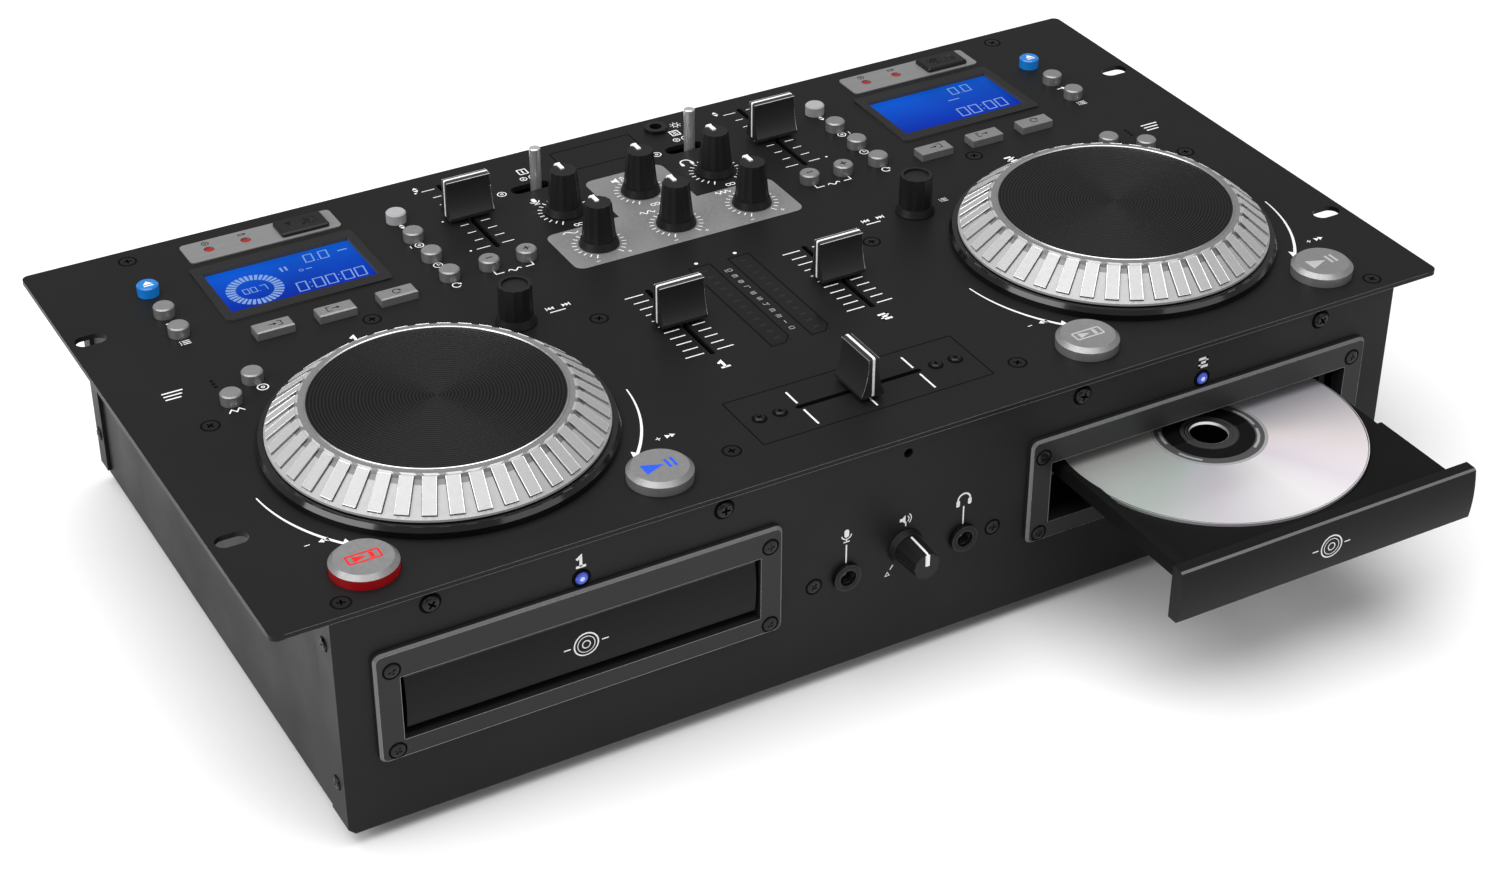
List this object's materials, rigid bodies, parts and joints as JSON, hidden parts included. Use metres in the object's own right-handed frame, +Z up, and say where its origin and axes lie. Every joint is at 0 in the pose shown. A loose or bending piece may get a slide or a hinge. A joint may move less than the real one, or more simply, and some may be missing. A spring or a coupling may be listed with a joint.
{
  "type": "dual disc player and mixer console",
  "caption": "Rack-width console for mixing music: motor trays for discs, ribbed jog wheels, displays, sliding faders, tone knobs, press buttons and front jacks.",
  "frame": {"origin": "middle of the four rack slots, on the upper face of the top panel", "axes": "+X to the right of the player's front, +Y to the back, +Z up"},
  "size_m": [0.4826, 0.3488, 0.1181],
  "materials": {
    "black_panel": "satin black powder coat",
    "case_grey": "satin grey powder coat",
    "foot_rubber": "matt",
    "bezel_plastic": "satin dark grey",
    "tray_plastic": "matt black",
    "ring_black": "gloss black",
    "jog_silver": "silver satin",
    "jog_black": "turned black",
    "frame_plastic": "satin dark grey",
    "display_glass": "blue lit display",
    "brushed_plate": "brushed",
    "socket_black": "semi-gloss black",
    "led_blue": "clear blue lens",
    "connector_metal": "bright nickel",
    "loader_plastic": "moulded black",
    "board_green": "lacquered laminate",
    "pot_metal": "bare steel cans",
    "disc_silver": "polished disc",
    "knob_black": "matt black",
    "fader_black": "satin black",
    "lever_chrome": "polished",
    "rocker_black": "satin black",
    "button_silver": "metallised satin",
    "button_blue": "clear blue"
  },
  "bodies": {
    "console": {"top_panel": "black_panel", "chassis_tray": "case_grey", "front_panel": "black_panel", "rear_panel": "black_panel", "rubber_feet": "foot_rubber", "potentiometers": "pot_metal", "tray_bezels": "bezel_plastic", "jog_rings": "ring_black", "display_frames": "frame_plastic", "display_windows": "display_glass", "port_plates": "brushed_plate", "usb_sockets": "socket_black", "connectors": "connector_metal", "indicator_leds": "led_blue", "loader_decks": "loader_plastic", "circuit_boards": "board_green"},
    "tray_left": {"tray_a": "tray_plastic", "tray_door_a": "bezel_plastic"},
    "tray_right": {"tray_b": "tray_plastic", "tray_door_b": "bezel_plastic", "compact_disc": "disc_silver"},
    "jog_left": {"jog_wheel_a": "jog_silver", "jog_top_a": "jog_black"},
    "jog_right": {"jog_wheel_b": "jog_silver", "jog_top_b": "jog_black"},
    "pitch_fader_a": {"pitch_fader_a": "fader_black"},
    "channel_fader_a": {"channel_fader_a": "fader_black"},
    "track_knob_a": {"track_knob_a": "knob_black"},
    "source_switch_a": {"source_switch_a": "lever_chrome"},
    "pitch_fader_b": {"pitch_fader_b": "fader_black"},
    "channel_fader_b": {"channel_fader_b": "fader_black"},
    "track_knob_b": {"track_knob_b": "knob_black"},
    "source_switch_b": {"source_switch_b": "lever_chrome"},
    "crossfader": {"crossfader": "fader_black"},
    "low_tone_knob": {"low_tone_knob": "knob_black"},
    "mid_tone_knob": {"mid_tone_knob": "knob_black"},
    "high_tone_knob": {"high_tone_knob": "knob_black"},
    "mic_level_knob": {"mic_level_knob": "knob_black"},
    "master_level_knob": {"master_level_knob": "knob_black"},
    "cue_level_knob": {"cue_level_knob": "knob_black"},
    "blend_knob": {"blend_knob": "knob_black"},
    "power_switch": {"power_switch": "rocker_black"},
    "cue_button_a": {"cue_button_a": "button_silver"},
    "play_button_a": {"play_button_a": "button_silver"},
    "eject_button_a": {"eject_button_a": "button_blue"},
    "loop_in_button_a": {"loop_in_button_a": "button_silver"},
    "loop_out_button_a": {"loop_out_button_a": "button_silver"},
    "reloop_button_a": {"reloop_button_a": "button_silver"},
    "bend_down_button_a": {"bend_down_button_a": "button_silver"},
    "bend_up_button_a": {"bend_up_button_a": "button_silver"},
    "small_buttons_a": {"small_buttons_a": "button_silver"},
    "cue_button_b": {"cue_button_b": "button_silver"},
    "play_button_b": {"play_button_b": "button_silver"},
    "eject_button_b": {"eject_button_b": "button_blue"},
    "loop_in_button_b": {"loop_in_button_b": "button_silver"},
    "loop_out_button_b": {"loop_out_button_b": "button_silver"},
    "reloop_button_b": {"reloop_button_b": "button_silver"},
    "bend_down_button_b": {"bend_down_button_b": "button_silver"},
    "bend_up_button_b": {"bend_up_button_b": "button_silver"},
    "small_buttons_b": {"small_buttons_b": "button_silver"}
  },
  "joints": [
    {"name": "tray_left_slide", "type": "slide", "parent": "console", "child": "tray_left", "axis": [0, -1, 0], "range_m": [0, 0.134]},
    {"name": "tray_right_slide", "type": "slide", "parent": "console", "child": "tray_right", "axis": [0, -1, 0], "range_m": [-0.0792, 0.0548]},
    {"name": "jog_left_spin", "type": "hinge", "parent": "console", "child": "jog_left", "pos_m": [-0.1453, -0.048, 0], "axis": [0, 0, 1], "continuous": true},
    {"name": "pitch_left_slide", "type": "slide", "parent": "console", "child": "pitch_fader_a", "axis": [0, 1, 0], "range_m": [-0.02665, 0.02665]},
    {"name": "channel_left_slide", "type": "slide", "parent": "console", "child": "channel_fader_a", "axis": [0, 1, 0], "range_m": [-0.02425, 0.02425]},
    {"name": "track_left_turn", "type": "hinge", "parent": "console", "child": "track_knob_a", "pos_m": [-0.0885, 0.008, 0], "axis": [0, 0, 1], "continuous": true},
    {"name": "source_left_slide", "type": "slide", "parent": "console", "child": "source_switch_a", "axis": [1, 0, 0], "range_m": [-0.0052, 0]},
    {"name": "jog_right_spin", "type": "hinge", "parent": "console", "child": "jog_right", "pos_m": [0.1453, -0.048, 0], "axis": [0, 0, 1], "continuous": true},
    {"name": "pitch_right_slide", "type": "slide", "parent": "console", "child": "pitch_fader_b", "axis": [0, 1, 0], "range_m": [-0.02665, 0.02665]},
    {"name": "channel_right_slide", "type": "slide", "parent": "console", "child": "channel_fader_b", "axis": [0, 1, 0], "range_m": [-0.02425, 0.02425]},
    {"name": "track_right_turn", "type": "hinge", "parent": "console", "child": "track_knob_b", "pos_m": [0.0885, 0.008, 0], "axis": [0, 0, 1], "continuous": true},
    {"name": "source_right_slide", "type": "slide", "parent": "console", "child": "source_switch_b", "axis": [1, 0, 0], "range_m": [-0.0052, 0]},
    {"name": "crossfader_slide", "type": "slide", "parent": "console", "child": "crossfader", "axis": [1, 0, 0], "range_m": [-0.024, 0.024]},
    {"name": "low_tone_turn", "type": "hinge", "parent": "console", "child": "low_tone_knob", "pos_m": [-0.0344, 0.0458, 0], "axis": [0, 0, 1], "range_deg": [-140, 140]},
    {"name": "mid_tone_turn", "type": "hinge", "parent": "console", "child": "mid_tone_knob", "pos_m": [0, 0.0458, 0], "axis": [0, 0, 1], "range_deg": [-140, 140]},
    {"name": "high_tone_turn", "type": "hinge", "parent": "console", "child": "high_tone_knob", "pos_m": [0.0346, 0.0458, 0], "axis": [0, 0, 1], "range_deg": [-140, 140]},
    {"name": "mic_level_turn", "type": "hinge", "parent": "console", "child": "mic_level_knob", "pos_m": [-0.0344, 0.0764, 0], "axis": [0, 0, 1], "range_deg": [-140, 140]},
    {"name": "master_level_turn", "type": "hinge", "parent": "console", "child": "master_level_knob", "pos_m": [0, 0.0764, 0], "axis": [0, 0, 1], "range_deg": [-140, 140]},
    {"name": "cue_level_turn", "type": "hinge", "parent": "console", "child": "cue_level_knob", "pos_m": [0.0346, 0.0764, 0], "axis": [0, 0, 1], "range_deg": [-140, 140]},
    {"name": "blend_turn", "type": "hinge", "parent": "console", "child": "blend_knob", "pos_m": [0, -0.129, -0.0485], "axis": [0, -1, 0], "range_deg": [-140, 140]},
    {"name": "power_rock", "type": "hinge", "parent": "console", "child": "power_switch", "pos_m": [0.188, 0.128, -0.045], "axis": [1, 0, 0], "range_deg": [0, 24]},
    {"name": "cue_left_press", "type": "slide", "parent": "console", "child": "cue_button_a", "axis": [0, 0, -1], "range_m": [0, 0.0012], "stiffness_N_per_m": 300},
    {"name": "play_left_press", "type": "slide", "parent": "console", "child": "play_button_a", "axis": [0, 0, -1], "range_m": [0, 0.0012], "stiffness_N_per_m": 300},
    {"name": "eject_left_press", "type": "slide", "parent": "console", "child": "eject_button_a", "axis": [0, 0, -1], "range_m": [0, 0.0008], "stiffness_N_per_m": 250},
    {"name": "loop_in_left_press", "type": "slide", "parent": "console", "child": "loop_in_button_a", "axis": [0, 0, -1], "range_m": [0, 0.0008], "stiffness_N_per_m": 250},
    {"name": "loop_out_left_press", "type": "slide", "parent": "console", "child": "loop_out_button_a", "axis": [0, 0, -1], "range_m": [0, 0.0008], "stiffness_N_per_m": 250},
    {"name": "reloop_left_press", "type": "slide", "parent": "console", "child": "reloop_button_a", "axis": [0, 0, -1], "range_m": [0, 0.0008], "stiffness_N_per_m": 250},
    {"name": "bend_down_left_press", "type": "slide", "parent": "console", "child": "bend_down_button_a", "axis": [0, 0, -1], "range_m": [0, 0.0008], "stiffness_N_per_m": 250},
    {"name": "bend_up_left_press", "type": "slide", "parent": "console", "child": "bend_up_button_a", "axis": [0, 0, -1], "range_m": [0, 0.0008], "stiffness_N_per_m": 250},
    {"name": "small_left_press", "type": "slide", "parent": "console", "child": "small_buttons_a", "axis": [0, 0, -1], "range_m": [0, 0.0008], "stiffness_N_per_m": 500},
    {"name": "cue_right_press", "type": "slide", "parent": "console", "child": "cue_button_b", "axis": [0, 0, -1], "range_m": [0, 0.0012], "stiffness_N_per_m": 300},
    {"name": "play_right_press", "type": "slide", "parent": "console", "child": "play_button_b", "axis": [0, 0, -1], "range_m": [0, 0.0012], "stiffness_N_per_m": 300},
    {"name": "eject_right_press", "type": "slide", "parent": "console", "child": "eject_button_b", "axis": [0, 0, -1], "range_m": [0, 0.0008], "stiffness_N_per_m": 250},
    {"name": "loop_in_right_press", "type": "slide", "parent": "console", "child": "loop_in_button_b", "axis": [0, 0, -1], "range_m": [0, 0.0008], "stiffness_N_per_m": 250},
    {"name": "loop_out_right_press", "type": "slide", "parent": "console", "child": "loop_out_button_b", "axis": [0, 0, -1], "range_m": [0, 0.0008], "stiffness_N_per_m": 250},
    {"name": "reloop_right_press", "type": "slide", "parent": "console", "child": "reloop_button_b", "axis": [0, 0, -1], "range_m": [0, 0.0008], "stiffness_N_per_m": 250},
    {"name": "bend_down_right_press", "type": "slide", "parent": "console", "child": "bend_down_button_b", "axis": [0, 0, -1], "range_m": [0, 0.0008], "stiffness_N_per_m": 250},
    {"name": "bend_up_right_press", "type": "slide", "parent": "console", "child": "bend_up_button_b", "axis": [0, 0, -1], "range_m": [0, 0.0008], "stiffness_N_per_m": 250},
    {"name": "small_right_press", "type": "slide", "parent": "console", "child": "small_buttons_b", "axis": [0, 0, -1], "range_m": [0, 0.0008], "stiffness_N_per_m": 500}
  ]
}
